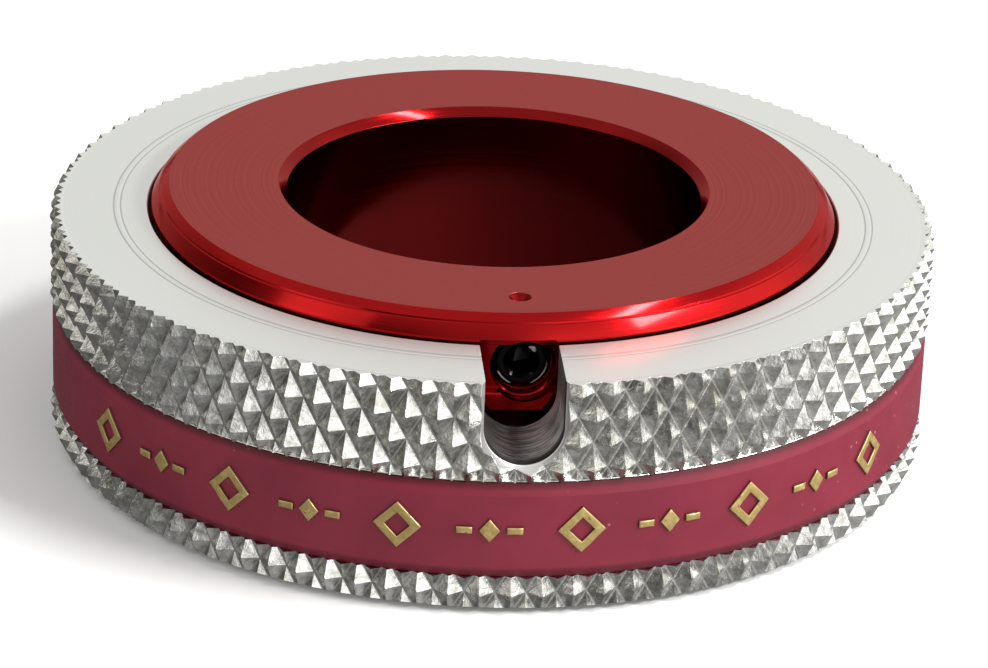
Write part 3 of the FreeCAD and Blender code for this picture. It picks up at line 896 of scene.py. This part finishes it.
# ---------------------------------------------------------------------------
# grub screw and pad
# ---------------------------------------------------------------------------
def build_screw():
    out_r, pitch, depth = 1.998, 0.70, 0.40
    segs, step = 96, 0.70 / 14
    n = int(round((SCREW_FACE - SCREW_END) / step))
    rows, verts = [], []
    d0 = SCREW_END
    verts.append((0.0, -d0, SCREW_Z))
    for k in range(n + 1):
        d = SCREW_END + (SCREW_FACE - SCREW_END) * k / n
        row = []
        for i in range(segs):
            a = 2 * math.pi * i / segs
            ph = ((d - SCREW_END) / pitch + i / segs) % 1.0
            tri = abs(ph - 0.5) * 2
            r = out_r - depth * (1 - min(1.0, max(0.0, (tri - 0.10) / 0.72)))
            # flat crest, pointed ends run the thread out
            back = SCREW_FACE - d
            rim = 1.60 + 0.33 * math.sqrt(max(0.0, 1 - (1 - min(1.0, back / 0.30)) ** 2)) + max(0.0, back - 0.30) * 0.5
            r = min(r, 1.50 + (d - SCREW_END) * 1.0, rim)
            row.append(len(verts))
            verts.append((r * math.cos(a), -d, SCREW_Z + r * math.sin(a)))
        rows.append(row)
    # outer end: a narrow turned rim round the socket
    for r, d in ((1.50, SCREW_FACE - 0.004), (1.30, SCREW_FACE - 0.03)):
        row = []
        for i in range(segs):
            a = 2 * math.pi * i / segs
            row.append(len(verts))
            verts.append((r * math.cos(a), -d, SCREW_Z + r * math.sin(a)))
        rows.append(row)
    tip = len(verts)
    verts.append((0.0, -(SCREW_FACE - 0.03), SCREW_Z))
    faces = [(0, rows[0][i], rows[0][(i + 1) % segs]) for i in range(segs)]
    for a, b in zip(rows, rows[1:]):
        faces += [(a[i], b[i], b[(i + 1) % segs], a[(i + 1) % segs]) for i in range(segs)]
    faces += [(tip, rows[-1][(i + 1) % segs], rows[-1][i]) for i in range(segs)]
    screw = outward(mesh_object("grub_screw", verts, faces))
    # hex socket with a drilled point and a small lead-in
    rr = 1.0 / math.cos(math.radians(30))

    def hexagon(radius, d):
        pts = []
        for k in range(6):
            a = math.radians(60 * k + 12)
            pts.append((radius * math.cos(a), -d, SCREW_Z + radius * math.sin(a)))
        return pts
    f = SCREW_FACE
    socket = loft("socket", [hexagon(rr * 0.15, f - 2.9), hexagon(rr, f - 2.45), hexagon(rr, f + 0.5)])
    boolean(screw, socket)
    lead = solid_lathe("lead", [(0, f - 0.32), (0.98, f - 0.30), (1.30, f + 0.02), (1.60, f + 0.4), (0, f + 0.4)], 64, "Y")
    boolean(screw, radial(lead, 0.0, SCREW_Z))
    return finish_piece(screw, "screw", ["clamp_screw"], MAT_BLACK, sharp=34.0)


def build_pad():
    f, b = -pad_low.y, -pad_high.y
    prof = rounded([(0, b), (1.35, b, 0.06), (1.60, b + 0.25, 0.06), (1.60, f - 0.05, 0.05), (1.50, f), (0, f)], 4)
    pad = solid_lathe("thrust_pad", prof, 64, "Y")
    return finish_piece(radial(pad, 0.0, SCREW_Z), "pad", ["clamp_pad"], MAT_BRASS, sharp=40.0)


# ---------------------------------------------------------------------------
# slip washer
# ---------------------------------------------------------------------------
def build_washer():
    prof = rounded([
        (25.90, 0.0, 0.06), (29.90, 0.0, 0.06), (30.10, 0.20, 0.05), (30.10, 0.95, 0.03), (30.30, 1.03, 0.05),
        (30.30, 1.17, 0.05), (30.10, 1.25, 0.03), (30.10, 1.50, 0.06), (25.70, 1.50, 0.06), (25.70, 0.20, 0.05)], 3)
    washer = lathe("slip_washer_ring", prof, 256)
    return finish_piece(washer, "base", ["slip_washer"], MAT_ACETAL, sharp=40.0)


build_ring()
build_band()
build_marks()
build_hub()
build_screw()
build_pad()
build_washer()
for node, mat in (("retaining_ring", MAT_SPRING), ("drag_ring", MAT_NYLON)):
    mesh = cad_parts[node].data
    mesh.materials.clear()
    mesh.materials.append(mat)
    mesh.shade_smooth()
    mesh.set_sharp_from_angle(angle=math.radians(30))

# ---------------------------------------------------------------------------
# floor and light
# ---------------------------------------------------------------------------
floor_mesh = bpy.data.meshes.new("floor")
bm = bmesh.new()
bmesh.ops.create_circle(bm, cap_ends=True, radius=4.0, segments=96)
bm.to_mesh(floor_mesh)
bm.free()
floor = bpy.data.objects.new("floor", floor_mesh)
floor.location.z = -0.00002
scene.collection.objects.link(floor)
nf = Nodes("floor")
nf.set(Roughness=0.9)
nf.bsdf.inputs["Base Color"].default_value = (0.92, 0.92, 0.92, 1)
nf.bsdf.inputs["Specular IOR Level"].default_value = 0.1
floor_mesh.materials.append(nf.mat)
floor.visible_glossy = False
floor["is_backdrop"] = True

# The studio: pale above and behind, a long white wall of light on the right, a
# dark gap beside the camera on the left, and a dim table below.
class Sky(Nodes):
    def __init__(self, world):
        self.tree = world.node_tree
        self.tree.nodes.clear()
        self.out = self.tree.nodes.new("ShaderNodeOutputWorld")
        self.shade = self.tree.nodes.new("ShaderNodeBackground")
        self.tree.links.new(self.shade.outputs[0], self.out.inputs[0])
        self.coord = self.tree.nodes.new("ShaderNodeTexCoord").outputs["Generated"]


world = bpy.data.worlds.new("studio")
scene.world = world
world.use_nodes = True
sky = Sky(world)
sx, sy, sz = sky.split()
bearing = sky.maths("ARCTAN2", sx, sky.maths("MULTIPLY", sy, -1.0))
bearing = sky.maths("ADD", bearing, math.radians(SWING + 180.0))
bearing = sky.maths("FRACT", sky.maths("DIVIDE", bearing, 2 * math.pi))


def round_stops(pairs):
    return [((az + 180.0) / 360.0, (v[0], v[1], v[2]) if isinstance(v, tuple) else (v, v, v)) for az, v in pairs]


cream = (1.0, 0.985, 0.915)


def tint(v):
    return tuple(v * c for c in cream)


wall = sky.ramp(bearing, round_stops([
    (-180, (0.89, 0.89, 0.865)), (-142, (0.60, 0.60, 0.58)), (-112, tint(0.24)), (-92, tint(0.13)), (-80, tint(0.30)), (-69, tint(0.84)),
    (-59, tint(0.76)), (-52, tint(0.36)), (-45, tint(0.13)), (-31, 0.11), (-22, 0.17), (-14, 0.32), (0, 0.40),
    (9, 0.58), (16, 1.1), (22, 1.75), (104, 1.75), (128, 1.0), (160, (0.89, 0.89, 0.865)), (180, (0.89, 0.89, 0.865))]), "LINEAR")
table = sky.ramp(bearing, round_stops([
    (-180, 0.18), (-120, 0.11), (-90, 0.13), (-40, 0.18), (0, 0.30), (40, 0.44), (90, 0.46), (130, 0.28), (180, 0.18)]), "LINEAR")
shade = sky.mix(sky.span(sz, 0.42, 0.78, smooth=True), wall, (0.72, 0.72, 0.72))
shade = sky.mix(sky.span(sz, 0.02, -0.10, smooth=True), shade, table)
sky.link(shade, sky.shade.inputs[0])


def area(name, az, el, distance, size, power, colour=(1, 1, 1), size_y=None):
    """A softbox at a camera azimuth (positive to the right of the camera) and elevation."""
    data = bpy.data.lights.new(name, "AREA")
    data.shape = "RECTANGLE"
    data.size = size
    data.size_y = size_y or size
    data.energy = power
    data.color = colour
    obj = bpy.data.objects.new(name, data)
    scene.collection.objects.link(obj)
    a, e = math.radians(az - SWING), math.radians(el)
    target = Vector((0, 0, 0.010))
    pos = Vector((math.sin(a) * math.cos(e), -math.cos(a) * math.cos(e), math.sin(e))) * distance + target
    obj.location = pos
    obj.rotation_euler = (target - pos).to_track_quat("-Z", "Y").to_euler()
    return obj


area("key", 66, 34, 0.60, 0.26, 2.6, (1.0, 0.995, 0.98), 0.07)
area("strip", 84, 61, 0.60, 0.26, 1.6, (1.0, 0.99, 0.98), 0.035)
area("left", -58, 30, 0.60, 0.30, 0.22, (1.0, 0.97, 0.90))

scene.view_settings.view_transform = "Standard"
scene.view_settings.look = "None"
scene.view_settings.exposure = 0.0

bpy.context.view_layer.update()
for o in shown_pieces():
    if o.type == "MESH":
        o.data.calc_loop_triangles()
        print("piece %-20s %7d triangles" % (o.name, len(o.data.loop_triangles)))
